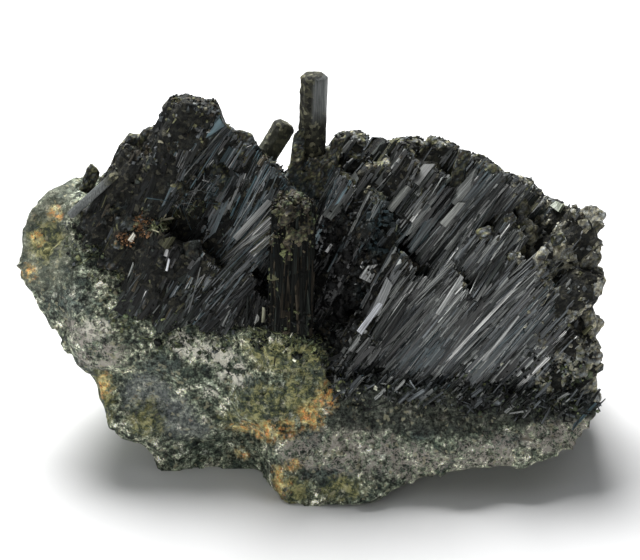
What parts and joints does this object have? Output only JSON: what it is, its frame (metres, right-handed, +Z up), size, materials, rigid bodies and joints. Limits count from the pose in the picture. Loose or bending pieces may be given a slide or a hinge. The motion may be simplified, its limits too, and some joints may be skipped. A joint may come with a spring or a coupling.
{
  "type": "aegirine crystal",
  "caption": "Mass of dark green-black striated prisms leaning side by side on a wedge of grey-green host rock, with a flat underside to rest on.",
  "frame": {"origin": "on the table, in the rock's flat underside, below the middle of the specimen", "axes": "+X to the specimen's right and thin end, -Y to the front where the crystals show, +Z up"},
  "size_m": [0.0886, 0.0483, 0.0595],
  "materials": {
    "host_rock": "rough broken rock, grey-green with pale and rusty patches",
    "aegirine": "glossy striated crystal faces, green-black"
  },
  "bodies": {
    "root": {"host_rock": "host_rock", "crystal_mass": "aegirine", "upright_prism": "aegirine", "leaning_prism": "aegirine", "column_crystal": "aegirine", "left_blade": "aegirine"}
  },
  "joints": []
}
